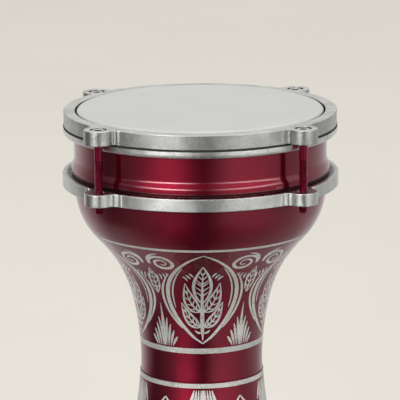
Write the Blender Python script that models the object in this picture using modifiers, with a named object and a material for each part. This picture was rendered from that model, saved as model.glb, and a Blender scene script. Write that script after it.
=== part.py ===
"""Darbuka: a goblet drum whose film head is clamped to a cast shell by a hoop, four long screws and a lower ring.

Units are metres, +Z points up the drum's axis towards the head, and -Y is the front.
The origin is the middle of the foot's underside, so the drum stands on z = 0.
Lugs and screws stand close to 45 degrees from the front, left and right, and behind.
"""
import math

import bmesh
import bpy
from mathutils import Matrix, Vector

# ---------------------------------------------------------------- dimensions
NAME = "darbuka"
SEGMENTS = 48            # facets round every turned piece, all in one phase
GAP = 0.0003             # air left between pieces that touch in the real drum

HEIGHT = 0.3580          # foot underside to clamp hoop top
PITCH_RADIUS = 0.1002    # screw axes from the drum axis
LUG_ANGLES = {"front_left": 225.0, "front_right": 313.5,
              "back_left": 137.0, "back_right": 45.5}

# clamp hoop
HOOP_OUTER = 0.0960
HOOP_INNER = 0.0880
HOOP_DEPTH = 0.0102
HOOP_EDGE = 0.0005       # rounded arris
HOOP_LUG = 0.0102        # radius of each lug round its screw
HOOP_LUG_FILLET = 0.0022
KNUCKLE_WIDTH = 0.0034   # small cast swelling where each lug's fillet meets the ring
KNUCKLE_HEIGHT = 0.0005

# lower ring
RING_TOP_DROP = 0.0440   # below the clamp hoop's top
RING_DEPTH = 0.00885
RING_OUTER = 0.0972
RING_INNER = 0.0903
RING_LUG_FILLET = 0.0050

# head: film, flesh hoop and the resin that bonds them
FILM_RISE = 0.0009       # film surface above the hoop top
FILM = 0.0004            # film thickness
FILM_RADIUS = 0.08705    # outer side of the film's collar
FILM_CORNER = 0.0030     # outer radius of the fold over the bearing edge
COLLAR_Z = HEIGHT - 0.0110
CHANNEL_OUTER = 0.0964
CHANNEL_INNER = 0.0870
CHANNEL_TOP = HEIGHT - HOOP_DEPTH - GAP
CHANNEL_BOTTOM = HEIGHT - 0.0163
CHANNEL_WALL = 0.0008
FILM_LIP = 0.0915        # where the film's flange turns down into the resin

# cast shell
WALL = 0.0042
SHELL_NECKED = 0.08635   # outside of the wall inside the film's collar
SHELL_CYLINDER = 0.0890
SHELL_BEAD = 0.0910
STEP_DROP = 0.0167       # where the wall widens below the flesh hoop
OGEE_TOP_DROP = 0.0320
OGEE_FOOT_DROP = 0.0395
BEAD_FOOT_DROP = 0.0437
CYLINDER_BORE = 0.0840
BOWL_STATIONS = (        # (drop below the hoop top, outer radius)
    (0.0437, 0.0900), (0.0490, 0.08985), (0.0595, 0.0884), (0.0710, 0.0857),
    (0.0826, 0.0799), (0.0941, 0.0700), (0.1075, 0.0596), (0.1248, 0.0515),
    (0.1440, 0.0466), (0.1632, 0.0441), (0.1770, 0.04325), (0.1875, 0.0434))
STEM_STATIONS = (
    (0.1878, 0.0440), (0.1960, 0.0445), (0.2100, 0.0460), (0.2350, 0.0494),
    (0.2650, 0.0541), (0.2950, 0.0594), (0.3200, 0.0648), (0.3390, 0.0700),
    (0.3500, 0.0736))
FOOT_RADIUS = 0.0760
FOOT_BORE = 0.0690
FOOT_BEAD = 0.0080       # height of the thickened rim at the foot
GROOVE = 0.0003          # depth of the turned bands that show bare metal
BOWL_BAND = (0.0835, 0.0854)
NECK_BAND_HIGH = (0.1626, 0.1665)
NECK_BAND_LOW = (0.1884, 0.1917)
SPIGOT_LENGTH = 0.0150   # stem's tube inside the bowl's neck
SPIGOT_OUTER = 0.0387
SPIGOT_INNER = 0.0357

# M6 socket head screw
SCREW_SEGMENTS = 16
SCREW_SHANK = 0.00295
SCREW_THREAD = 0.00285
SCREW_HEAD = 0.0050
SCREW_HEAD_HEIGHT = 0.0060
SCREW_HEAD_DROP = 0.0002
SCREW_LENGTH = 0.0530
SCREW_SMOOTH = 0.0154    # plain shank under the head
SCREW_END_CHAMFER = 0.0007
SOCKET_ACROSS_FLATS = 0.0050
SOCKET_DEPTH = 0.0032
COUNTERBORE = 0.0055
COUNTERBORE_DEPTH = SCREW_HEAD_DROP + SCREW_HEAD_HEIGHT + GAP
CLEARANCE_HOLE = 0.0033

# ---------------------------------------------------------------- clean start
for item in list(bpy.data.objects):
    bpy.data.objects.remove(item, do_unlink=True)
for group in list(bpy.data.collections):
    bpy.data.collections.remove(group)

scene = bpy.context.scene
parts = bpy.data.collections.new(NAME)
cutters = bpy.data.collections.new(NAME + "_cutters")
scene.collection.children.link(parts)
scene.collection.children.link(cutters)


# ---------------------------------------------------------------- tools
def material(name, colour, roughness, metallic):
    made = bpy.data.materials.new(name)
    made.use_nodes = True
    shader = made.node_tree.nodes["Principled BSDF"]
    shader.inputs["Base Color"].default_value = (*colour, 1.0)
    shader.inputs["Roughness"].default_value = roughness
    shader.inputs["Metallic"].default_value = metallic
    made.diffuse_color = (*colour, 1.0)
    return made


def add(name, mesh, collection, colour=None, location=(0, 0, 0)):
    made = bpy.data.objects.new(name, mesh)
    made.location = location
    collection.objects.link(made)
    if colour is not None:
        mesh.materials.append(colour)
    return made


def smooth(mesh, degrees=32):
    for face in mesh.polygons:
        face.use_smooth = True
    mesh.set_sharp_from_angle(angle=math.radians(degrees))


def profile_mesh(name, points, closed):
    """A profile in the XZ plane at +X, for the Screw modifier."""
    mesh = bpy.data.meshes.new(name)
    count = len(points)
    edges = [(i, i + 1) for i in range(count - 1)]
    if closed:
        edges.append((count - 1, 0))
    mesh.from_pydata([(r, 0.0, z) for r, z in points], edges, [])
    return mesh


def turned(name, points, colour, closed=True, segments=SEGMENTS, location=(0, 0, 0),
           collection=None):
    """A solid of revolution. The points run down the outside and back up the bore."""
    made = add(name, profile_mesh(name, points, closed), collection or parts,
               colour, location)
    screw = made.modifiers.new("turn", "SCREW")
    screw.axis = "Z"
    screw.angle = math.tau
    screw.steps = segments
    screw.render_steps = segments
    screw.use_merge_vertices = True
    screw.merge_threshold = 0.00001
    screw.use_smooth_shade = False
    return made


def cut(target, cutter):
    cutter.hide_render = True
    cutter.display_type = "WIRE"
    tool = target.modifiers.new("cut " + cutter.name, "BOOLEAN")
    tool.operation = "DIFFERENCE"
    tool.solver = "EXACT"
    tool.object = cutter


def cylinder_cutter(name, radius, z_low, z_high, xy, segments=SCREW_SEGMENTS):
    mesh = bpy.data.meshes.new(name)
    shape = bmesh.new()
    bmesh.ops.create_cone(
        shape, cap_ends=True, segments=segments, radius1=radius, radius2=radius,
        depth=z_high - z_low, matrix=Matrix.Translation((0, 0, (z_low + z_high) / 2)))
    shape.to_mesh(mesh)
    shape.free()
    return add(name, mesh, cutters, location=(xy[0], xy[1], 0))


def arc(centre_r, centre_z, radius, start, stop, count):
    """Points on an arc in the profile plane, angles in degrees from +X."""
    for i in range(count + 1):
        angle = math.radians(start + (stop - start) * i / count)
        yield (centre_r + radius * math.cos(angle), centre_z + radius * math.sin(angle))


def slopes(stations):
    """Finite-difference tangents at the stations of a profile."""
    found = []
    for i, (drop, radius) in enumerate(stations):
        low = stations[max(i - 1, 0)]
        high = stations[min(i + 1, len(stations) - 1)]
        found.append((high[1] - low[1]) / (high[0] - low[0]))
    return found


def radius_at(stations, drop):
    """Cubic Hermite curve through a profile's stations."""
    tangent = slopes(stations)
    last = len(stations) - 2
    i = 0
    while i < last and drop > stations[i + 1][0]:
        i += 1
    (d0, r0), (d1, r1) = stations[i], stations[i + 1]
    span = d1 - d0
    t = min(max((drop - d0) / span, 0.0), 1.0)
    return ((2 * t ** 3 - 3 * t ** 2 + 1) * r0 + (t ** 3 - 2 * t ** 2 + t) * span * tangent[i]
            + (3 * t ** 2 - 2 * t ** 3) * r1 + (t ** 3 - t ** 2) * span * tangent[i + 1])


def bore_at(stations, drop, wall=WALL):
    """Bore radius that leaves an even wall, measured square to the surface."""
    step = 0.0005
    low = max(drop - step, stations[0][0])
    high = min(drop + step, stations[-1][0])
    rake = (radius_at(stations, high) - radius_at(stations, low)) / (high - low)
    return radius_at(stations, drop) - wall * math.sqrt(1 + rake * rake)


def spaced(start, stop, count):
    return [start + (stop - start) * i / count for i in range(count + 1)]


def banded_side(stations, drops, bands):
    """The outside of a turned piece, with each band sunk by the groove's depth."""
    rows = []
    for drop in drops:
        if not any(a - 0.0006 < drop < b + 0.0006 for a, b in bands):
            rows.append((drop, 0, radius_at(stations, drop)))
    for a, b in bands:
        rows.append((a, 0, radius_at(stations, a)))
        rows.append((a, 1, radius_at(stations, a) - GROOVE))
        rows.append((b, 2, radius_at(stations, b) - GROOVE))
        rows.append((b, 3, radius_at(stations, b)))
    rows.sort()
    return [(radius, HEIGHT - drop) for drop, _, radius in rows]


# ---------------------------------------------------------------- materials
paint_bowl = material("red_metallic_paint_bowl", (0.16, 0.012, 0.022), 0.28, 0.75)
paint_stem = material("red_metallic_paint_stem", (0.16, 0.012, 0.022), 0.28, 0.75)
film_white = material("white_film", (0.60, 0.61, 0.61), 0.45, 0.0)
channel_metal = material("flesh_hoop_aluminium", (0.70, 0.70, 0.68), 0.32, 1.0)
resin_grey = material("bond_resin", (0.30, 0.29, 0.26), 0.60, 0.0)
hoop_metal = material("cast_aluminium_hoop", (0.62, 0.62, 0.60), 0.38, 1.0)
ring_metal = material("cast_aluminium_ring", (0.62, 0.62, 0.60), 0.38, 1.0)

# ---------------------------------------------------------------- bowl shell
film_top = HEIGHT + FILM_RISE
corner_r = FILM_RADIUS - FILM_CORNER
corner_z = film_top - FILM_CORNER
crown = FILM_CORNER - FILM - GAP       # bearing edge, one gap inside the film

bowl_outside = list(arc(corner_r, corner_z, crown, 90, 0, 3))
bowl_outside += [
    (SHELL_NECKED, HEIGHT - STEP_DROP),
    (SHELL_CYLINDER - 0.0004, HEIGHT - STEP_DROP),
    (SHELL_CYLINDER, HEIGHT - STEP_DROP - 0.0004),
]
for drop in spaced(OGEE_TOP_DROP, OGEE_FOOT_DROP, 4):
    t = (drop - OGEE_TOP_DROP) / (OGEE_FOOT_DROP - OGEE_TOP_DROP)
    rise = t * t * (3 - 2 * t)
    bowl_outside.append(
        (SHELL_CYLINDER + (SHELL_BEAD - SHELL_CYLINDER) * rise, HEIGHT - drop))
bowl_outside += [
    (SHELL_BEAD, HEIGHT - BEAD_FOOT_DROP + 0.0012),
    (SHELL_BEAD - 0.0004, HEIGHT - BEAD_FOOT_DROP + 0.0003),
    (SHELL_BEAD - 0.0006, HEIGHT - BEAD_FOOT_DROP),
]
bowl_drops = [BOWL_STATIONS[0][0]] + spaced(0.0530, 0.0680, 2) + spaced(0.0735, 0.1075, 6) \
    + spaced(0.1150, 0.1810, 6) + [BOWL_STATIONS[-1][0]]
bowl_outside += banded_side(BOWL_STATIONS, bowl_drops, [BOWL_BAND, NECK_BAND_HIGH])

neck_bore = SPIGOT_OUTER + GAP
spigot_seat = BOWL_STATIONS[-1][0] - SPIGOT_LENGTH - 2 * GAP
bowl_bore = [(neck_bore, HEIGHT - BOWL_STATIONS[-1][0]), (neck_bore, HEIGHT - spigot_seat)]
for drop in [0.160, 0.138, 0.119, 0.104, 0.092, 0.080, 0.065]:
    bowl_bore.append((bore_at(BOWL_STATIONS, drop), HEIGHT - drop))
bowl_bore += [
    (CYLINDER_BORE, HEIGHT - 0.0500),
    (CYLINDER_BORE, HEIGHT - 0.0190),
    (SHELL_NECKED - WALL, HEIGHT - 0.0150),
    (SHELL_NECKED - WALL, corner_z + 0.0010),
]
bowl = turned("bowl_shell", bowl_outside + bowl_bore, paint_bowl)

# ---------------------------------------------------------------- stem shell
stem_top = STEM_STATIONS[0][0]
stem_outside = [
    (SPIGOT_INNER, HEIGHT - stem_top + SPIGOT_LENGTH),
    (SPIGOT_OUTER - 0.0006, HEIGHT - stem_top + SPIGOT_LENGTH),
    (SPIGOT_OUTER, HEIGHT - stem_top + SPIGOT_LENGTH - 0.0008),
    (SPIGOT_OUTER, HEIGHT - stem_top),
]
stem_drops = [stem_top] + spaced(0.2040, STEM_STATIONS[-1][0], 8)
stem_outside += banded_side(STEM_STATIONS, stem_drops, [NECK_BAND_LOW])
bead = FOOT_BEAD / 2
stem_outside += list(arc(FOOT_RADIUS - bead, bead, bead, 60, -60, 4))
stem_outside.append((FOOT_RADIUS - bead * 0.75, 0.0))
stem_bore = [(FOOT_BORE, 0.0), (FOOT_BORE - 0.0008, 0.0010)]
for drop in [0.3440, 0.3150, 0.2800, 0.2450, 0.2120]:
    stem_bore.append((bore_at(STEM_STATIONS, drop), HEIGHT - drop))
stem_bore.append((SPIGOT_INNER, HEIGHT - 0.1960))
stem = turned("stem_shell", stem_outside + stem_bore, paint_stem)

# ---------------------------------------------------------------- head film
flange_top = COLLAR_Z
film_points = [(0.0, film_top)]
film_points += list(arc(corner_r, corner_z, FILM_CORNER, 90, 0, 3))
film_points += [
    (FILM_RADIUS, flange_top), (FILM_LIP, flange_top),
    (FILM_LIP, CHANNEL_BOTTOM + 0.0024),
    (FILM_LIP - FILM, CHANNEL_BOTTOM + 0.0024),
    (FILM_LIP - FILM, flange_top - FILM), (FILM_RADIUS - FILM, flange_top - FILM),
]
film_points += list(arc(corner_r, corner_z, FILM_CORNER - FILM, 0, 90, 3))
film_points.append((0.0, film_top - FILM))
film = turned("head_film", film_points, film_white, closed=False)

# ---------------------------------------------------------------- flesh hoop
channel_points = [
    (CHANNEL_OUTER - CHANNEL_WALL, CHANNEL_TOP),
    (CHANNEL_OUTER - 0.0003, CHANNEL_TOP),
    (CHANNEL_OUTER, CHANNEL_TOP - 0.0005),
    (CHANNEL_OUTER, CHANNEL_BOTTOM + 0.0022),
    (CHANNEL_OUTER - 0.0004, CHANNEL_BOTTOM + 0.0009),
    (CHANNEL_OUTER - 0.0015, CHANNEL_BOTTOM),
    (CHANNEL_INNER + 0.0012, CHANNEL_BOTTOM),
    (CHANNEL_INNER, CHANNEL_BOTTOM + 0.0010),
    (CHANNEL_INNER, flange_top - FILM - GAP),
    (CHANNEL_INNER + CHANNEL_WALL, flange_top - FILM - GAP),
    (CHANNEL_INNER + CHANNEL_WALL, CHANNEL_BOTTOM + 0.0016),
    (CHANNEL_INNER + CHANNEL_WALL + 0.0007, CHANNEL_BOTTOM + CHANNEL_WALL),
    (CHANNEL_OUTER - CHANNEL_WALL - 0.0010, CHANNEL_BOTTOM + CHANNEL_WALL),
    (CHANNEL_OUTER - CHANNEL_WALL, CHANNEL_BOTTOM + 0.0018),
]
flesh = turned("flesh_hoop", channel_points, channel_metal)

# ---------------------------------------------------------------- bond resin
resin_in = CHANNEL_INNER + CHANNEL_WALL + GAP
resin_out = CHANNEL_OUTER - CHANNEL_WALL - GAP
resin_low = CHANNEL_BOTTOM + CHANNEL_WALL + GAP
resin_top = CHANNEL_TOP - 0.0004
groove_out = FILM_LIP + GAP
groove_in = FILM_LIP - FILM - GAP
groove_low = CHANNEL_BOTTOM + 0.0024 - GAP
resin_points = [
    (groove_out, resin_top), (resin_out, resin_top), (resin_out, resin_low + 0.0010),
    (resin_out - 0.0009, resin_low), (resin_in + 0.0006, resin_low),
    (resin_in, resin_low + 0.0008), (resin_in, flange_top - FILM - GAP),
    (groove_in, flange_top - FILM - GAP), (groove_in, groove_low),
    (groove_out, groove_low),
]
resin = turned("hoop_resin", resin_points, resin_grey)


# ---------------------------------------------------------------- lugged rings
def lugged_outline(ring_radius, lug_radius, fillet, inset):
    """Outer outline of a ring with four lugs, each blended in by a concave fillet."""
    ring = ring_radius - inset
    lug = lug_radius - inset
    blend = fillet + inset
    reach = ring + blend
    side = lug + blend
    at_axis = math.acos((reach ** 2 + PITCH_RADIUS ** 2 - side ** 2)
                        / (2 * reach * PITCH_RADIUS))
    centre = Vector((reach * math.cos(at_axis), reach * math.sin(at_axis)))
    to_lug = Vector((PITCH_RADIUS, 0)) - centre
    to_ring = -centre
    start = math.atan2(to_lug.y, to_lug.x)
    stop = math.atan2(to_ring.y, to_ring.x)
    if stop > start:
        stop -= math.tau
    lug_start = math.atan2(-to_lug.y, -to_lug.x)
    half = []                                   # from the lug's tip round to the ring
    for i in range(7):
        angle = lug_start * i / 6
        half.append(Vector((PITCH_RADIUS + lug * math.cos(angle), lug * math.sin(angle))))
    for i in range(1, 4):
        angle = start + (stop - start) * i / 3
        half.append(centre + blend * Vector((math.cos(angle), math.sin(angle))))
    outline = []
    step = math.tau / SEGMENTS
    turns = sorted(math.radians(angle) for angle in LUG_ANGLES.values())
    wide = KNUCKLE_WIDTH / ring_radius
    for turn, following in zip(turns, turns[1:] + [turns[0] + math.tau]):
        lug_points = [Vector((p.x, -p.y)) for p in reversed(half)] + half[1:]
        for p in lug_points:
            c, s = math.cos(turn), math.sin(turn)
            outline.append((p.x * c - p.y * s, p.x * s + p.y * c))
        first = turn + at_axis
        last = following - at_axis
        swelling = [(0.25, 0.7), (0.5, 1.0), (0.75, 0.7), (1.0, 0.0)]
        for part, rise in swelling:
            a, r = first + wide * part, ring + KNUCKLE_HEIGHT * rise
            outline.append((r * math.cos(a), r * math.sin(a)))
        k = math.ceil((first + wide) / step + 0.25)
        while k * step < last - wide - 0.25 * step:
            outline.append((ring * math.cos(k * step), ring * math.sin(k * step)))
            k += 1
        for part, rise in reversed(swelling):
            a, r = last - wide * part, ring + KNUCKLE_HEIGHT * rise
            outline.append((r * math.cos(a), r * math.sin(a)))
    return outline


def circle(radius, centre=(0.0, 0.0), count=SEGMENTS):
    return [(centre[0] + radius * math.cos(math.tau * i / count),
             centre[1] + radius * math.sin(math.tau * i / count)) for i in range(count)]


def plate(name, outlines, z_low, z_high, edge, colour):
    """Flat outlines filled and thickened, with rounded arrises, turned into a mesh."""
    flat = bpy.data.curves.new(name + "_outline", "CURVE")
    flat.dimensions = "2D"
    flat.fill_mode = "BOTH"
    flat.extrude = (z_high - z_low) / 2 - edge
    flat.bevel_depth = edge
    flat.bevel_resolution = 0
    for points in outlines:
        spline = flat.splines.new("POLY")
        spline.points.add(len(points) - 1)
        for point, (x, y) in zip(spline.points, points):
            point.co = (x, y, 0.0, 1.0)
        spline.use_cyclic_u = True
    maker = bpy.data.objects.new(name + "_outline", flat)
    cutters.objects.link(maker)
    bpy.context.view_layer.update()
    graph = bpy.context.evaluated_depsgraph_get()
    mesh = bpy.data.meshes.new_from_object(maker.evaluated_get(graph))
    bpy.data.objects.remove(maker, do_unlink=True)
    mesh.name = name
    shape = bmesh.new()
    shape.from_mesh(mesh)
    bmesh.ops.translate(shape, verts=shape.verts, vec=(0, 0, (z_low + z_high) / 2))
    bmesh.ops.remove_doubles(shape, verts=shape.verts, dist=0.00001)
    bmesh.ops.recalc_face_normals(shape, faces=shape.faces)
    shape.to_mesh(mesh)
    shape.free()
    mesh.materials.clear()
    return add(name, mesh, parts, colour)


lug_centres = {where: (PITCH_RADIUS * math.cos(math.radians(angle)),
                       PITCH_RADIUS * math.sin(math.radians(angle)))
               for where, angle in LUG_ANGLES.items()}

edge = HOOP_EDGE
hoop = plate(
    "clamp_hoop",
    [lugged_outline(HOOP_OUTER, HOOP_LUG, HOOP_LUG_FILLET, edge),
     circle(HOOP_INNER + edge)],
    HEIGHT - HOOP_DEPTH, HEIGHT, edge, hoop_metal)
for where, xy in lug_centres.items():
    cut(hoop, cylinder_cutter("hoop_hole_" + where, CLEARANCE_HOLE,
                              HEIGHT - HOOP_DEPTH - 0.004, HEIGHT + 0.004, xy))
    cut(hoop, cylinder_cutter("counterbore_" + where, COUNTERBORE,
                              HEIGHT - COUNTERBORE_DEPTH, HEIGHT + 0.004, xy))

ring_top = HEIGHT - RING_TOP_DROP
ring = plate(
    "lower_ring",
    [lugged_outline(RING_OUTER, HOOP_LUG, RING_LUG_FILLET, edge),
     circle(RING_INNER + edge)],
    ring_top - RING_DEPTH, ring_top, edge, ring_metal)
for where, xy in lug_centres.items():
    cut(ring, cylinder_cutter("ring_hole_" + where, CLEARANCE_HOLE,
                              ring_top - RING_DEPTH - 0.004, ring_top + 0.004, xy))

# ---------------------------------------------------------------- tension screws
head_top = HEIGHT - SCREW_HEAD_DROP
head_low = head_top - SCREW_HEAD_HEIGHT
screw_end = head_low - SCREW_LENGTH
screw_points = [
    (0.0, head_top), (SCREW_HEAD - 0.0004, head_top), (SCREW_HEAD, head_top - 0.0004),
    (SCREW_HEAD, head_low), (SCREW_SHANK, head_low),
    (SCREW_SHANK, head_low - SCREW_SMOOTH),
    (SCREW_THREAD, head_low - SCREW_SMOOTH - 0.0004),
    (SCREW_THREAD, screw_end + SCREW_END_CHAMFER),
    (SCREW_THREAD - SCREW_END_CHAMFER, screw_end), (0.0, screw_end),
]
for where, xy in lug_centres.items():
    paint = material("red_screw_" + where, (0.16, 0.012, 0.022), 0.30, 0.80)
    screw = turned("tension_bolt_" + where, screw_points, paint, closed=False,
                   segments=SCREW_SEGMENTS, location=(xy[0], xy[1], 0))
    socket = bpy.data.meshes.new("socket_" + where)
    shape = bmesh.new()
    across_corners = SOCKET_ACROSS_FLATS / math.cos(math.radians(30)) / 2
    bmesh.ops.create_cone(
        shape, cap_ends=True, segments=6, radius1=across_corners, radius2=across_corners,
        depth=SOCKET_DEPTH + 0.003,
        matrix=Matrix.Translation((0, 0, head_top - SOCKET_DEPTH + (SOCKET_DEPTH + 0.003) / 2))
        @ Matrix.Rotation(math.radians(LUG_ANGLES[where]), 4, "Z"))
    shape.to_mesh(socket)
    shape.free()
    cut(screw, add("socket_" + where, socket, cutters, location=(xy[0], xy[1], 0)))

# ---------------------------------------------------------------- round shading
bpy.context.view_layer.update()
graph = bpy.context.evaluated_depsgraph_get()
finished = {item: bpy.data.meshes.new_from_object(item.evaluated_get(graph))
            for item in parts.objects}
for item, mesh in finished.items():
    mesh.name = item.name
    smooth(mesh)
    item.modifiers.clear()
    item.data = mesh
bpy.context.view_layer.update()
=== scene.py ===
"""Looks for the darbuka: a goblet drum with a cast, red lacquered and hand-engraved shell,
a white film head, cast clamp hoop and lower ring, and four red socket head screws."""

import math
import random

import bmesh
import bpy
from mathutils import Matrix, Vector


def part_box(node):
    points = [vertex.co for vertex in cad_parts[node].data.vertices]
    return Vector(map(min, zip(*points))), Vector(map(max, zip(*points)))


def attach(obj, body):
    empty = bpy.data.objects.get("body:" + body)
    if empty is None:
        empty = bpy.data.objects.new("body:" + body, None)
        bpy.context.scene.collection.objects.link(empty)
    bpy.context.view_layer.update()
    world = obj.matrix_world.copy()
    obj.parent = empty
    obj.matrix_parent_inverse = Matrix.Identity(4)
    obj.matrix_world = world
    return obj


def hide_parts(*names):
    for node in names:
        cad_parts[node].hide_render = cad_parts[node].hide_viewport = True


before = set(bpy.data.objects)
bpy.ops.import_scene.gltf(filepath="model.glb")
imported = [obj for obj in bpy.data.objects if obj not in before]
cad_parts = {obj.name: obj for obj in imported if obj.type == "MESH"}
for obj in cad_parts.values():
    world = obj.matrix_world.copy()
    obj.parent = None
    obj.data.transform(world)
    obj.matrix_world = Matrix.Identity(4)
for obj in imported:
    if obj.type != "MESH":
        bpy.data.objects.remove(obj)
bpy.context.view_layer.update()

MM = 0.001
SEG = 192                                   # facets round the turned pieces
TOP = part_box("clamp_hoop")[1][2]            # the clamp hoop's top; "drop" is measured down from here


# ------------------------------------------------------------------ mesh tools
def new_object(name, verts, faces, mats, mat_index=None, smooth_angle=32.0):
    mesh = bpy.data.meshes.new(name)
    mesh.from_pydata([tuple(v) for v in verts], [], faces)
    for m in mats:
        mesh.materials.append(m)
    if mat_index:
        mesh.polygons.foreach_set("material_index", mat_index)
    mesh.polygons.foreach_set("use_smooth", [True] * len(mesh.polygons))
    mesh.set_sharp_from_angle(angle=math.radians(smooth_angle))
    mesh.update()
    mesh.validate()
    made = bpy.data.objects.new(name, mesh)
    bpy.context.scene.collection.objects.link(made)
    return made


def even_normals(piece):
    """Flat faces keep their own direction where they meet a rounded edge."""
    tool = piece.modifiers.new("weighted", "WEIGHTED_NORMAL")
    tool.keep_sharp = True
    tool.weight = 100


def lathe(rows, seg=SEG, centre=(0.0, 0.0), closed=True, phase=0.0, base=0):
    """Rows are (radius, z[, material]) down the outside and back up the bore; radius may be a
    function of the angle. A radius of 0 closes the end on the axis."""
    verts, faces, index, rings = [], [], [], []
    for row in rows:
        r, z = row[0], row[1]
        if not callable(r) and r == 0.0:
            rings.append([base + len(verts)])
            verts.append((centre[0], centre[1], z))
            continue
        ring = []
        for j in range(seg):
            a = phase + math.tau * j / seg
            rr = r(a) if callable(r) else r
            zz = z(a) if callable(z) else z
            ring.append(base + len(verts))
            verts.append((centre[0] + rr * math.cos(a), centre[1] + rr * math.sin(a), zz))
        rings.append(ring)
    pairs = list(zip(range(len(rows) - 1), range(1, len(rows))))
    if closed:
        pairs.append((len(rows) - 1, 0))
    for i, k in pairs:
        up, down = rings[i], rings[k]
        slot = rows[i][2] if len(rows[i]) > 2 else 0
        if len(up) == 1 and len(down) == 1:
            continue
        for j in range(seg):
            n = (j + 1) % seg
            if len(up) == 1:
                faces.append((up[0], down[j], down[n]))
            elif len(down) == 1:
                faces.append((up[j], down[0], up[n]))
            else:
                faces.append((up[j], down[j], down[n], up[n]))
            index.append(slot)
    return verts, faces, index


def rounded(points, steps=5):
    """A profile whose corners (r, z, radius[, material]) are replaced by arcs."""
    done = []
    count = len(points)
    for i, point in enumerate(points):
        r, z, fillet = point[0], point[1], point[2]
        slot = point[3] if len(point) > 3 else 0
        if fillet <= 0:
            done.append((r, z, slot))
            continue
        here = Vector((r, z))
        a = (Vector(points[i - 1][:2]) - here)
        b = (Vector(points[(i + 1) % count][:2]) - here)
        la, lb = a.length, b.length
        a.normalize()
        b.normalize()
        half = a.angle(b) / 2
        reach = min(fillet / math.tan(half), la * 0.49, lb * 0.49)
        fillet = reach * math.tan(half)
        centre = here + (a + b).normalized() * (fillet / math.sin(half))
        p0, p1 = here + a * reach, here + b * reach
        v0, v1 = p0 - centre, p1 - centre
        t0 = math.atan2(v0.y, v0.x)
        turn = math.atan2(v1.y, v1.x) - t0
        while turn > math.pi:
            turn -= math.tau
        while turn < -math.pi:
            turn += math.tau
        for k in range(steps + 1):
            t = t0 + turn * k / steps
            done.append((centre.x + fillet * math.cos(t), centre.y + fillet * math.sin(t), slot))
    return done


# ------------------------------------------------------------------ shell profile
BOWL = ((43.7, 90.0), (49.0, 89.85), (59.5, 88.4), (71.0, 85.7), (82.6, 79.9), (94.1, 70.0),
        (107.5, 59.6), (124.8, 51.5), (144.0, 46.6), (163.2, 44.1), (177.0, 43.25), (187.5, 43.4))
STEM = ((187.8, 44.0), (196.0, 44.5), (210.0, 46.0), (235.0, 49.4), (265.0, 54.1), (295.0, 59.4),
        (320.0, 64.8), (339.0, 70.0), (350.0, 73.6))
WALL = 4.2


def along(stations, drop):
    """Smooth profile through the stations: drop and radius in millimetres."""
    slopes = []
    for i in range(len(stations)):
        lo, hi = stations[max(i - 1, 0)], stations[min(i + 1, len(stations) - 1)]
        slopes.append((hi[1] - lo[1]) / (hi[0] - lo[0]))
    i = 0
    while i < len(stations) - 2 and drop > stations[i + 1][0]:
        i += 1
    (d0, r0), (d1, r1) = stations[i], stations[i + 1]
    span = d1 - d0
    t = min(max((drop - d0) / span, 0.0), 1.0)
    return ((2 * t ** 3 - 3 * t ** 2 + 1) * r0 + (t ** 3 - 2 * t ** 2 + t) * span * slopes[i]
            + (3 * t ** 2 - 2 * t ** 3) * r1 + (t ** 3 - t ** 2) * span * slopes[i + 1])


def outside(drop):
    return along(BOWL, drop) if drop < 187.65 else along(STEM, drop)


def slope_of(drop):
    return (outside(drop + 0.4) - outside(drop - 0.4)) / 0.8


def bore(stations, drop):
    lo, hi = max(drop - 0.5, stations[0][0]), min(drop + 0.5, stations[-1][0])
    rake = (along(stations, hi) - along(stations, lo)) / (hi - lo)
    return along(stations, drop) - WALL * math.sqrt(1 + rake * rake)


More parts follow.
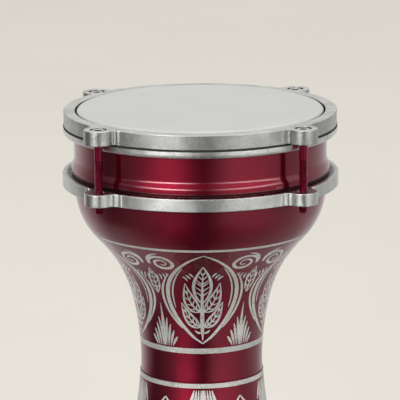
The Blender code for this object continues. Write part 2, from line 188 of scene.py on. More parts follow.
# ------------------------------------------------------------------ node materials
class Graph:
    """Small helper for building a Principled material."""

    def __init__(self, name):
        self.mat = bpy.data.materials.new(name)
        self.mat.use_nodes = True
        self.tree = self.mat.node_tree
        self.shader = self.tree.nodes["Principled BSDF"]
        self.coords = self.tree.nodes.new("ShaderNodeTexCoord")

    def set(self, **values):
        for key, value in values.items():
            self.shader.inputs[key.replace("_", " ")].default_value = value

    def node(self, kind, **values):
        made = self.tree.nodes.new(kind)
        for key, value in values.items():
            setattr(made, key, value)
        return made

    def link(self, a, b):
        self.tree.links.new(a, b)

    def noise(self, scale, detail=3.0, rough=0.5, stretch=None, distortion=0.0):
        made = self.node("ShaderNodeTexNoise")
        made.inputs["Scale"].default_value = scale
        made.inputs["Detail"].default_value = detail
        made.inputs["Roughness"].default_value = rough
        made.inputs["Distortion"].default_value = distortion
        source = self.coords.outputs["Object"]
        if stretch:
            mapping = self.node("ShaderNodeMapping")
            mapping.inputs["Scale"].default_value = stretch
            self.link(source, mapping.inputs["Vector"])
            source = mapping.outputs["Vector"]
        self.link(source, made.inputs["Vector"])
        return made.outputs["Fac"]

    def cells(self, scale, feature="F1", output="Distance", randomness=1.0):
        made = self.node("ShaderNodeTexVoronoi", feature=feature)
        made.inputs["Scale"].default_value = scale
        made.inputs["Randomness"].default_value = randomness
        self.link(self.coords.outputs["Object"], made.inputs["Vector"])
        return made.outputs[output]

    def ramp(self, source, stops):
        made = self.node("ShaderNodeValToRGB")
        ramp = made.color_ramp
        while len(ramp.elements) < len(stops):
            ramp.elements.new(0.5)
        for element, (place, colour) in zip(ramp.elements, stops):
            element.position = place
            element.color = (*colour, 1.0) if not isinstance(colour, float) else (
                colour, colour, colour, 1.0)
        self.link(source, made.inputs["Fac"])
        return made.outputs["Color"]

    def span(self, source, low, high, low_in=0.3, high_in=0.7):
        made = self.node("ShaderNodeMapRange")
        made.inputs["From Min"].default_value = low_in
        made.inputs["From Max"].default_value = high_in
        made.inputs["To Min"].default_value = low
        made.inputs["To Max"].default_value = high
        self.link(source, made.inputs["Value"])
        return made.outputs["Result"]

    def mix(self, factor, a, b, blend="MIX"):
        made = self.node("ShaderNodeMix", data_type="RGBA", blend_type=blend)
        if isinstance(factor, float):
            made.inputs["Factor"].default_value = factor
        else:
            self.link(factor, made.inputs["Factor"])
        for value, socket in ((a, made.inputs[6]), (b, made.inputs[7])):
            if isinstance(value, tuple):
                socket.default_value = (*value, 1.0)
            else:
                self.link(value, socket)
        return made.outputs[2]

    def math(self, operation, a, b):
        made = self.node("ShaderNodeMath", operation=operation)
        for value, socket in ((a, made.inputs[0]), (b, made.inputs[1])):
            if isinstance(value, (int, float)):
                socket.default_value = value
            else:
                self.link(value, socket)
        return made.outputs[0]

    def bump(self, height, strength, distance, under=None):
        made = self.node("ShaderNodeBump")
        made.inputs["Strength"].default_value = strength
        made.inputs["Distance"].default_value = distance
        self.link(height, made.inputs["Height"])
        if under is not None:
            self.link(under, made.inputs["Normal"])
        return made.outputs["Normal"]

    def feed(self, source, socket):
        self.link(source, self.shader.inputs[socket])


def red_paint(name, dark, light, rough=0.35, metal=0.94, coat=1.0, turned=True):
    """Translucent red over turned metal under clear lacquer: the fine lathe marks run round the
    shell, so reflections stretch up and down it."""
    g = Graph(name)
    if turned:
        round_axis = g.node("ShaderNodeTangent", direction_type="RADIAL", axis="Z")
        g.feed(round_axis.outputs["Tangent"], "Tangent")
        g.set(Anisotropic=0.88, Anisotropic_Rotation=0.25)
    broad = g.noise(22.0, 3.0, 0.55)
    flake = g.cells(5200.0, output="Color")
    sparkle = g.node("ShaderNodeSeparateColor")
    g.link(flake, sparkle.inputs["Color"])
    base = g.mix(g.span(broad, 0.0, 1.0), dark, light)
    glint = g.ramp(sparkle.outputs[0], [(0.0, 0.74), (0.5, 0.84), (0.9, 0.90), (1.0, 1.0)])
    g.feed(g.mix(1.0, base, glint, "MULTIPLY"), "Base Color")
    g.feed(g.span(g.noise(60.0, 4.0, 0.6), rough - 0.04, rough + 0.06), "Roughness")
    peel = g.bump(g.noise(420.0, 2.0, 0.5), 0.035, 0.0004)
    g.feed(peel, "Normal")
    g.feed(g.bump(g.noise(260.0, 2.0, 0.5), 0.02, 0.0004), "Coat Normal")
    g.set(Metallic=metal)
    g.set(Coat_Weight=coat, Coat_Roughness=0.05, Coat_IOR=1.5)
    return g.mat


def cast_silver(name, tone, rough, grain=0.25, size=700.0, tint=(0.98, 0.99, 0.96), metal=1.0,
                turned=0.0, pitting=0.72):
    """Tumbled cast aluminium: a fine hammered grain that glitters along its reflections. Faces
    dressed on the lathe stretch their reflections up and down."""
    g = Graph(name)
    if turned:
        round_axis = g.node("ShaderNodeTangent", direction_type="RADIAL", axis="Z")
        g.feed(round_axis.outputs["Tangent"], "Tangent")
        g.set(Anisotropic=turned, Anisotropic_Rotation=0.25)
    cloud = g.noise(55.0, 4.0, 0.6)
    low = tuple(tone * 0.80 * c for c in tint)
    high = tuple(min(tone * 1.10, 1.0) * c for c in tint)
    pits = g.noise(size, 3.0, 0.7)
    base = g.mix(g.span(cloud, 0.0, 1.0), low, high)
    specks = g.ramp(pits, [(0.30, pitting), (0.48, 1.0), (1.0, 1.0)])
    g.feed(g.mix(1.0, base, specks, "MULTIPLY"), "Base Color")
    g.feed(g.span(g.noise(180.0, 5.0, 0.65), rough - 0.08, rough + 0.12), "Roughness")
    first = g.bump(pits, grain, 0.00035)
    g.feed(g.bump(g.noise(size * 0.33, 2.0, 0.5), grain * 0.6, 0.0006, first), "Normal")
    g.set(Metallic=metal)
    return g.mat


RED_DARK, RED_LIGHT = (0.27, 0.006, 0.028), (0.32, 0.008, 0.036)
paint_bowl = red_paint("lacquer_bowl", RED_DARK, RED_LIGHT)
paint_stem = red_paint("lacquer_stem", RED_DARK, RED_LIGHT)
paint_screw = red_paint("lacquer_screw", (0.31, 0.007, 0.040), (0.40, 0.011, 0.056), 0.32, 0.95, 0.5, False)
silver_hoop = cast_silver("cast_hoop", 0.63, 0.36, 0.46, 900.0, turned=0.80)
silver_rim = cast_silver("cast_hoop_top", 0.66, 0.46, 0.30)
silver_ring = cast_silver("cast_ring", 0.79, 0.35, 0.20, 800.0, turned=0.80)
silver_channel = cast_silver("rolled_channel", 0.98, 0.38, 0.08, 260.0, turned=0.85)
silver_head = cast_silver("screw_head_plate", 0.80, 0.22, 0.10, 900.0)
# painted shade: the clamp hoop's inner wall is drawn near-black, for the shade in the gap round the film
hoop_bore_painted_shade = cast_silver("cast_hoop_bore", 0.10, 0.55, 0.4, 500.0)
# painted shade: near-black for the seats and holes in the castings, where shade falls, and for the channel
# in the hoop's shadow line
painted_shade_bore = cast_silver("drilled_seat_painted_shade", 0.07, 0.50, 0.3, 900.0)
# painted shade: near-black for the hex socket and the screw head's side down in its seat
painted_shade_socket = cast_silver("broached_socket_painted_shade", 0.05, 0.50, 0.3, 900.0)
bare_cut = cast_silver("graver_cut", 0.82, 0.40, 1.0, 1000.0, (1.0, 1.0, 0.96), 0.66,
                       pitting=0.35)
bare_band = cast_silver("turned_band", 0.78, 0.40, 1.0, 1100.0, (1.0, 1.0, 0.96), 0.66,
                         pitting=0.40)
inside_cast = cast_silver("raw_casting_inside", 0.42, 0.55, 0.6, 320.0)

g = Graph("cast_ring_top")                  # cloudy silver out to the arris, with painted shade: dark at the inner edge next to the bead, where shade falls
split_at = g.node("ShaderNodeSeparateXYZ")
g.link(g.coords.outputs["Object"], split_at.inputs[0])
across = g.math("SQRT", g.math("ADD", g.math("POWER", split_at.outputs[0], 2.0),
                               g.math("POWER", split_at.outputs[1], 2.0)), 0.0)
# painted shade mask: dark inside about 93 mm, plain silver beyond about 95 mm
inner_edge_painted_shade = g.span(across, 0.0, 1.0, 0.0930, 0.0952)
cloudy = g.mix(g.span(g.noise(120.0, 4.0, 0.6), 0.0, 1.0), (0.50, 0.50, 0.48), (0.66, 0.66, 0.64))
g.feed(g.mix(inner_edge_painted_shade, (0.045, 0.012, 0.014), cloudy), "Base Color")
g.feed(g.span(g.noise(180.0, 4.0, 0.6), 0.20, 0.34), "Roughness")
g.feed(g.bump(g.noise(700.0, 3.0, 0.6), 0.06, 0.0003), "Normal")
g.set(Metallic=1.0)
silver_ledge = g.mat

# painted shade: near-black red for the bead's underside above the lower ring, where shade falls
painted_shade_under_bead = red_paint("lacquer_painted_shade_under_bead", (0.020, 0.002, 0.004), (0.034, 0.003, 0.006), 0.5, 0.5, 0.15)
# painted shade: darker red for the thread's roots, where shade falls between the crests
thread_root_painted_shade = red_paint("lacquer_thread_root", (0.140, 0.004, 0.020), (0.190, 0.005, 0.028), 0.38,
                        0.9, 0.2, False)

g = Graph("film_coat")
g.feed(g.mix(g.span(g.noise(40.0, 4.0, 0.6), 0.0, 1.0), (0.520, 0.527, 0.527), (0.545, 0.553, 0.552)),
       "Base Color")
g.feed(g.span(g.noise(90.0, 3.0, 0.5), 0.36, 0.42), "Roughness")
g.feed(g.bump(g.noise(1600.0, 3.0, 0.6), 0.06, 0.0002), "Normal")
g.set(Metallic=0.0, Specular_IOR_Level=0.30)
film_coat = g.mat

# painted shade: near-black for the outer part of the film's fold and its collar, in the gap by the hoop
# where shade falls
g = Graph("film_collar_painted_shade")
g.feed(g.mix(g.span(g.noise(60.0, 4.0, 0.6), 0.0, 1.0), (0.020, 0.020, 0.019), (0.034, 0.034, 0.033)),
       "Base Color")
g.feed(g.span(g.noise(200.0, 3.0, 0.5), 0.5, 0.65), "Roughness")
film_collar_painted_shade = g.mat

g = Graph("bond_resin")
g.feed(g.mix(g.span(g.noise(120.0, 3.0, 0.6), 0.0, 1.0), (0.20, 0.18, 0.15), (0.32, 0.29, 0.24)),
       "Base Color")
g.feed(g.span(g.noise(300.0, 3.0, 0.6), 0.45, 0.7), "Roughness")
resin = g.mat

# ------------------------------------------------------------------ bowl shell
FILM_TOP, FOLD = -0.9, 3.0                 # the film's drop and the fold's outer radius
FILM_SIDE = 87.05
corner_r, corner_d = FILM_SIDE - FOLD, FILM_TOP + FOLD
crown = FOLD - 0.7
neck_r = FILM_SIDE - 0.7


def mm_rows(rows):
    return [(r * MM, TOP - d * MM, *rest) for r, d, *rest in rows]


bands = {"bowl": (83.5, 85.4), "neck_high": (162.6, 166.5), "neck_low": (188.4, 191.7)}


def side_rows(stations, start, stop, step, grooves, depth=0.16):
    """The painted side between two drops, sunk to bare metal in each groove."""
    rows = []
    count = int((stop - start) / step)
    for i in range(count + 1):
        d = start + (stop - start) * i / count
        if not any(a - 0.35 < d < b + 0.35 for a, b in grooves):
            rows.append((d, 0, along(stations, d), 0))
    for a, b in grooves:
        rows.append((a, 0, along(stations, a), 1))
        rows.append((a + 0.04, 1, along(stations, a) - depth, 1))
        mid = (a + b) / 2
        rows.append((mid, 2, along(stations, mid) - depth * 0.8, 1))
        rows.append((b - 0.04, 3, along(stations, b) - depth, 1))
        rows.append((b, 4, along(stations, b), 0))
    rows.sort()
    return [(r, d, slot) for d, _, r, slot in rows]


rows = []
for i in range(9):
    a = math.radians(90 - 90 * i / 8)
    rows.append((corner_r + crown * math.cos(a), corner_d - crown * math.sin(a), 2))
rows += [(neck_r, 16.7, 0), (88.45, 16.7, 0), (88.85, 16.86, 0), (89.0, 17.25, 0), (89.0, 18.2, 0),
         (89.0, 31.0, 0)]
for i in range(19):
    t = i / 18
    rows.append((89.0 + 2.0 * (t * t * (3 - 2 * t)), 32.9 + 7.3 * t, 0))
# slot 3 on the bead's underside is the painted shade
rows += [(91.0, 40.9, 0), (91.0, 41.7, 0), (90.97, 42.2, 3), (90.93, 42.6, 3), (90.75, 43.1, 3),
         (90.5, 43.5, 3), (90.2, 43.7, 0)]
rows += side_rows(BOWL, 43.7, 187.5, 1.1, [bands["bowl"], bands["neck_high"]])
rows[-1] = (*rows[-1][:2], 2)
rows += [(39.0, 187.5, 2), (39.0, 172.0, 2)]
d = 168.0
while d > 56:
    rows.append((bore(BOWL, d), d, 2))
    d -= 3.0
rows += [(84.0, 50.0, 2), (84.0, 19.0, 2), (neck_r - 4.2, 15.0, 2), (neck_r - 4.2, 2.6, 2),
         (neck_r - 3.7, 1.1, 2)]
v, f, m = lathe(mm_rows(rows))
bowl = new_object("bowl_body", v, f, [paint_bowl, bare_band, inside_cast, painted_shade_under_bead], m, 30)
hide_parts("bowl_shell")
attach(bowl, "shell")

# ------------------------------------------------------------------ stem shell
rows = [(35.7, 172.8, 2), (38.1, 172.8, 2), (38.7, 173.6, 2), (38.7, 187.8, 0)]
rows += [(43.85, 187.8, 0), (44.0, 187.95, 0)]
rows += side_rows(STEM, 188.1, 350.0, 1.25, [bands["neck_low"], (330.0, 332.6), (335.0, 336.4)])
for i in range(15):
    a = math.radians(60 - 150 * i / 14)
    rows.append((72.0 + 4.0 * math.cos(a), 354.0 - 4.0 * math.sin(a), 0))
rows += [(69.4, 358.0, 2), (69.0, 357.8, 2), (68.5, 357.0, 2)]
d = 348.0
while d > 205:
    rows.append((bore(STEM, d), d, 2))
    d -= 4.0
rows += [(35.7, 196.0, 2)]
v, f, m = lathe(mm_rows(rows))
stem = new_object("stem_body", v, f, [paint_stem, bare_band, inside_cast], m, 30)
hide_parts("stem_shell")
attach(stem, "shell")

# ------------------------------------------------------------------ head
def arc_rows(cr, cd, radius, start, stop, steps, slot=0):
    out = []
    for i in range(steps + 1):
        a = math.radians(start + (stop - start) * i / steps)
        out.append((cr + radius * math.cos(a), cd - radius * math.sin(a), slot))
    return out


rows = [(0.0, FILM_TOP)]
rows += [(r, FILM_TOP) for r in (10.0, 25.0, 40.0, 55.0, 68.0, 76.0, 80.0, 82.5)]
rows += arc_rows(corner_r, corner_d, FOLD, 90, 36, 8)
# from here the fold and collar take the painted shade
rows += arc_rows(corner_r, corner_d, FOLD, 30, 0, 4, 1)
rows += [(FILM_SIDE, 8.0, 1), (FILM_SIDE, 10.4, 1)] + arc_rows(FILM_SIDE + 0.5, 10.4, 0.5, 180, 270, 3, 1)
rows += [(90.9, 10.9, 1)] + arc_rows(90.9, 11.5, 0.6, 90, 0, 3, 1)
rows += [(91.5, 13.9, 1), (91.1, 13.9, 1), (91.1, 11.6, 1), (90.9, 11.3, 1), (FILM_SIDE + 0.2, 11.35, 1),
         (FILM_SIDE - 0.4, 10.8, 1), (FILM_SIDE - 0.4, 8.0, 1)]
rows += arc_rows(corner_r, corner_d, FOLD - 0.4, 0, 90, 8)
rows += [(70.0, FILM_TOP + 0.4), (40.0, FILM_TOP + 0.4), (0.0, FILM_TOP + 0.4)]
v, f, m = lathe(mm_rows(rows), closed=False)
film = new_object("film_skin", v, f, [film_coat, film_collar_painted_shade], m, 40)
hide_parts("head_film")
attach(film, "head_clamp")

rows = rounded([(95.6, 10.5, 0.0), (96.4, 10.5, 0.6), (96.4, 16.3, 2.6), (87.0, 16.3, 1.3),
                (87.0, 11.7, 0.2), (87.8, 11.7, 0.2), (87.8, 15.5, 0.8), (95.6, 15.5, 1.4)], 7)
# painted shadow: the rows just below the clamp hoop, where its shadow line falls, take the near-black seat
# material
rows = [(r, d, 1 if r > 95.0 and d < 11.15 else 0) for r, d, _ in rows]      # in the hoop's shadow line
wall_at = max(i for i, row in enumerate(rows) if row[2] == 1)
rows.insert(wall_at + 1, (96.4, 11.45, 0))
v, f, m = lathe(mm_rows(rows))
channel = new_object("flesh_channel", v, f, [silver_channel, painted_shade_bore], m, 35)
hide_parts("flesh_hoop")
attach(channel, "head_clamp")

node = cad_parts["hoop_resin"]
node.data.materials.clear()
node.data.materials.append(resin)

# ------------------------------------------------------------------ lugged castings
PITCH = 100.2
LUG = 10.2
LUG_AT = {"front_left": 225.0, "front_right": 313.5, "back_left": 137.0, "back_right": 45.5}
KNUCKLE = 3.4                              # width of the swelling beside each fillet


def outline(ring_radius, fillet, inset, lug=LUG, knuckle=0.55, notch=0.25):
    """Outer edge of a ring with four round lugs, drawn at an inset, always the same count.
    A small notch and a cast swelling mark the end of each lug's fillet."""
    ring, boss, blend = ring_radius - inset, lug - inset, fillet + inset
    reach, side = ring + blend, boss + blend
    at = math.acos((reach ** 2 + PITCH ** 2 - side ** 2) / (2 * reach * PITCH))
    centre = Vector((reach * math.cos(at), reach * math.sin(at)))
    to_lug, to_ring = Vector((PITCH, 0)) - centre, -centre
    start, stop = math.atan2(to_lug.y, to_lug.x), math.atan2(to_ring.y, to_ring.x)
    while stop > start:
        stop -= math.tau
    while stop < start - math.pi:
        stop += math.tau
    lug_stop = math.atan2(-to_lug.y, -to_lug.x)
    half = [Vector((PITCH + boss * math.cos(lug_stop * i / 20), boss * math.sin(lug_stop * i / 20)))
            for i in range(21)]
    half += [centre + blend * Vector((math.cos(start + (stop - start) * i / 10),
                                      math.sin(start + (stop - start) * i / 10)))
             for i in range(1, 10)]
    points = []
    turns = sorted(math.radians(angle) for angle in LUG_AT.values())
    wide = KNUCKLE / ring_radius
    for turn, following in zip(turns, turns[1:] + [turns[0] + math.tau]):
        c, s = math.cos(turn), math.sin(turn)
        for p in [Vector((p.x, -p.y)) for p in reversed(half)] + half[1:]:
            points.append((p.x * c - p.y * s, p.x * s + p.y * c))
        first, last = turn + at, following - at

        def swell(i):
            t = i / 14
            rise = knuckle * math.sin(math.pi * t) ** 0.8
            return ring + max(rise, 0.0) - (notch * (1 - t * 14 / 2) if i < 2 else 0.0)

        for i in range(0, 15):
            a = first + wide * i / 14
            points.append((swell(i) * math.cos(a), swell(i) * math.sin(a)))
        for i in range(1, 40):
            a = first + wide + (last - first - 2 * wide) * i / 40
            points.append((ring * math.cos(a), ring * math.sin(a)))
        for i in range(14, -1, -1):
            a = last - wide * i / 14
            points.append((swell(i) * math.cos(a), swell(i) * math.sin(a)))
    return points


def ring_of(radius, count, centre=(0.0, 0.0)):
    return [(centre[0] + radius * math.cos(math.tau * i / count),
             centre[1] + radius * math.sin(math.tau * i / count)) for i in range(count)]


def lugged_casting(name, ring_radius, fillet, inner, top, bottom, edge, hole, mats,
                   lug=LUG, counterbore=None, mouth=0.0, knuckle=0.55):
    """A cast ring with lugs: rounded arrises, bolt holes and, if asked, head seats."""
    shape = bmesh.new()

    def loop(points, drop):
        return [shape.verts.new((x * MM, y * MM, TOP - drop * MM)) for x, y in points]

    def skin(upper, lower, flip=False, slot=0):
        n = len(upper)
        for i in range(n):
            k = (i + 1) % n
            quad = (upper[i], lower[i], lower[k], upper[k])
            made = shape.faces.new(tuple(reversed(quad)) if flip else quad)
            made.material_index = slot

    def wall(drawn, flip, slot=0):
        steps = 5
        loops = []
        for i in range(steps + 1):
            a = math.pi / 2 * i / steps
            loops.append(loop(drawn(edge * (1 - math.sin(a))), top + edge * (1 - math.cos(a))))
        for i in range(steps + 1):
            a = math.pi / 2 * i / steps
            loops.append(loop(drawn(edge * (1 - math.cos(a))), bottom - edge * (1 - math.sin(a))))
        for i, (a, b) in enumerate(zip(loops, loops[1:])):
            skin(a, b, flip, slot if i >= 4 else 0)
        return loops[0], loops[-1]

    outer_top, outer_low = wall(
        lambda inset: outline(ring_radius, fillet, inset, lug, knuckle), False)
    inner_top, inner_low = wall(lambda inset: ring_of(inner + inset, SEG), True, 1)
    tops, lows = [outer_top, inner_top], [outer_low, inner_low]
    for angle in LUG_AT.values():
        turn = math.radians(angle)
        spot = (PITCH * math.cos(turn), PITCH * math.sin(turn))
        chain = []
        if counterbore:
            seat, depth = counterbore
            chain += [(seat + 0.35, 0.0), (seat + 0.10, 0.10), (seat, 0.38), (seat, depth - 0.2),
                      (seat - 0.2, depth), (hole + 0.2, depth), (hole, depth + 0.2)]
        else:
            chain += [(hole + mouth, 0.0), (hole + mouth * 0.55, mouth * 0.35), (hole, mouth)]
        height = bottom - top
        chain += [(hole, height - mouth), (hole + mouth, height)] if mouth else [
            (hole, height - 0.2), (hole + 0.2, height)]
        loops = [loop(ring_of(r, 48, spot), top + d) for r, d in chain]
        # seat and hole walls below the mouth take slot 2, the painted shade
        for i, (a, b) in enumerate(zip(loops, loops[1:])):
            skin(a, b, True, 2 if i >= 2 else 0)
        tops.append(loops[0])
        lows.append(loops[-1])
    for group, up in ((tops, True), (lows, False)):
        edges = []
        for ring in group:
            for i in range(len(ring)):
                a, b = ring[i], ring[(i + 1) % len(ring)]
                edges.append(shape.edges.get((a, b)) or shape.edges.new((a, b)))
        made = bmesh.ops.triangle_fill(shape, use_beauty=True, edges=edges,
                                       normal=(0, 0, 1 if up else -1))
        for item in made["geom"]:
            if isinstance(item, bmesh.types.BMFace):
                if (item.normal.z > 0) != up:
                    item.normal_flip()
                item.material_index = 3 if up else 0
    bmesh.ops.recalc_face_normals(shape, faces=shape.faces)
    mesh = bpy.data.meshes.new(name)
    shape.to_mesh(mesh)
    shape.free()
    for mat in mats:
        mesh.materials.append(mat)
    mesh.polygons.foreach_set("use_smooth", [True] * len(mesh.polygons))
    mesh.set_sharp_from_angle(angle=math.radians(34))
    made = bpy.data.objects.new(name, mesh)
    bpy.context.scene.collection.objects.link(made)
    even_normals(made)
    return made


hoop = lugged_casting("clamp_hoop_casting", 96.0, 2.2, 88.0, 0.0, 10.2, 0.50, 3.3,
                      [silver_hoop, hoop_bore_painted_shade, painted_shade_bore, silver_rim], counterbore=(5.75, 6.5))
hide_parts("clamp_hoop")
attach(hoop, "head_clamp")
lower = lugged_casting("lower_ring_casting", 97.2, 5.0, 90.3, 44.0, 52.85, 0.55, 3.25,
                       [silver_ring, silver_ring, painted_shade_bore, silver_ledge], mouth=0.5, knuckle=0.35)
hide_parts("lower_ring")
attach(lower, "shell")

# ------------------------------------------------------------------ tension screws
def screw_mesh(centre, turn):
    """M6 socket head screw: head with a hexagon socket, plain shank, rolled thread."""
    seg = 48
    flats = 2.45

    def hexagon(size):
        def radius(a):
            b = (a - turn) % (math.pi / 3) - math.pi / 6
            return size / math.cos(b) * MM
        return radius

    top, under = 0.5, 6.2
    rows = [(0.0, TOP - (top + 3.9) * MM, 2), (hexagon(flats * 0.55), TOP - (top + 3.5) * MM, 2),
            (hexagon(flats), TOP - (top + 3.1) * MM, 2), (hexagon(flats), TOP - (top + 0.16) * MM, 1),
            (hexagon(flats + 0.10), TOP - (top + 0.05) * MM, 1),
            (hexagon(flats + 0.20), TOP - top * MM, 1)]
    for r, d in ((4.30, 0.0), (4.58, 0.05), (4.80, 0.2), (4.90, 0.42), (4.92, 0.7)):
        rows.append((r * MM, TOP - (top + d) * MM, 1))
    # the head's side and underside, down in the seat, take slot 2, the painted shade
    for r, d in ((4.92, 1.2), (4.92, under - 0.3), (4.80, under)):
        rows.append((r * MM, TOP - d * MM, 2))
    rows.append((3.3 * MM, TOP - under * MM, 2))
    rows.append((3.05 * MM, TOP - (under + 0.1) * MM, 0))
    rows.append((2.95 * MM, TOP - (under + 0.35) * MM, 0))
    start, end = under + 15.4, under + 53.0
    for i in range(1, 9):
        rows.append((2.95 * MM, TOP - (under + 0.35 + (start - under - 0.35) * i / 8) * MM, 0))
    pitch, fine = 1.0, 8
    count = int((end - start) / pitch * fine)

    def thread(drop):
        def radius(a):
            turns = ((TOP - 0.0) * 0.0 + drop / pitch - a / math.tau) % 1.0
            saw = abs(turns - 0.5) * 2.0                      # 1 at the crest, 0 at the root
            cut = min(max((saw - 0.16) / 0.68, 0.0), 1.0)
            run = min(max((drop - start) / 1.2, 0.0), 1.0)
            depth = 0.54 * (1 - cut) * run
            r = 2.95 - depth
            if start - 0.2 < drop < start + 0.9:              # relief where the thread begins
                r = min(r, 2.48)
            tip = end - drop
            if tip < 0.9:
                r = min(r, 2.15 + 0.8 * tip / 0.9)
            return r * MM
        return radius

    for i in range(1, count + 1):
        drop = start + (end - start) * i / count
        rows.append((thread(drop), TOP - drop * MM, 0))
    rows.append((1.6 * MM, TOP - end * MM, 0))
    rows.append((0.0, TOP - end * MM, 0))
    return lathe(rows, seg, (centre[0] * MM, centre[1] * MM), closed=False)


for where, angle in LUG_AT.items():
    a = math.radians(angle)
    v, f, m = screw_mesh((PITCH * math.cos(a), PITCH * math.sin(a)), a + 0.3)
    axis = (PITCH * math.cos(a) * MM, PITCH * math.sin(a) * MM)
    for i, face in enumerate(f):
        middle = [sum(v[k][c] for k in face) / len(face) for c in range(3)]
        drop = (TOP - middle[2]) / MM
        off = math.hypot(middle[0] - axis[0], middle[1] - axis[1]) / MM
        # the thread's roots take the painted shade
        if m[i] == 0 and 21.4 < drop < 58.6 and off < 2.64:
            m[i] = 3
    screw = new_object("screw_" + where, v, f, [paint_screw, silver_head, painted_shade_socket, thread_root_painted_shade],
                       m, 38)
    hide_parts("tension_bolt_" + where)
    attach(screw, "bolt_" + where)


# ------------------------------------------------------------------ engraving
class Graver:
    """Cuts strokes on the shell. A stroke is a smooth line through (angle, drop, width) points:
    degrees round from the front, millimetres below the hoop's top, millimetres wide."""

    def __init__(self):
        self.verts, self.faces = [], []

    @staticmethod
    def place(angle, drop, lift=0.0):
        a = math.radians(angle)
        rake = slope_of(drop)
        size = math.sqrt(1 + rake * rake)
        r = outside(drop) + lift / size
        z = drop - lift * rake / size
        return Vector((r * math.sin(a), -r * math.cos(a), -z))

    def stroke(self, points, pace=0.9):
        dense = []
        n = len(points)
        for i in range(n - 1):
            p0, p1 = points[max(i - 1, 0)], points[i]
            p2, p3 = points[i + 1], points[min(i + 2, n - 1)]
            here = self.place(p1[0], p1[1])
            there = self.place(p2[0], p2[1])
            parts = max(2, int((there - here).length / pace))
            for k in range(parts + (i == n - 2)):
                t = k / parts
                dense.append(tuple(
                    0.5 * (2 * b + (c - a) * t + (2 * a - 5 * b + 4 * c - d) * t * t
                           + (3 * b - a - 3 * c + d) * t ** 3)
                    for a, b, c, d in zip(p0, p1, p2, p3)))
        spots = [self.place(p[0], p[1]) for p in dense]
        base = len(self.verts)
        section = ((-0.5, -0.03), (-0.40, 0.055), (0.0, 0.012), (0.40, 0.055), (0.5, -0.03))
        for i, spot in enumerate(spots):
            ahead, behind = spots[min(i + 1, len(spots) - 1)], spots[max(i - 1, 0)]
            along_it = (ahead - behind).normalized()
            rake = slope_of(dense[i][1])
            a = math.radians(dense[i][0])
            out = Vector((math.sin(a), -math.cos(a), rake)).normalized()
            across = out.cross(along_it).normalized()
            width = max(dense[i][2] * 1.18, 0.05)
            for side, lift in section:
                q = spot + across * (side * width)
                angle = math.degrees(math.atan2(q.x, -q.y))
                p = self.place(angle, -q.z, lift * min(1.0, width / 0.8))
                self.verts.append((p.x * MM, p.y * MM, TOP + p.z * MM))
        k = len(section)
        for i in range(len(spots) - 1):
            for j in range(k - 1):
                a = base + i * k + j
                self.faces.append((a, a + k, a + k + 1, a + 1))

    def piece(self, name):
        return new_object(name, self.verts, self.faces, [bare_cut], None, 60)


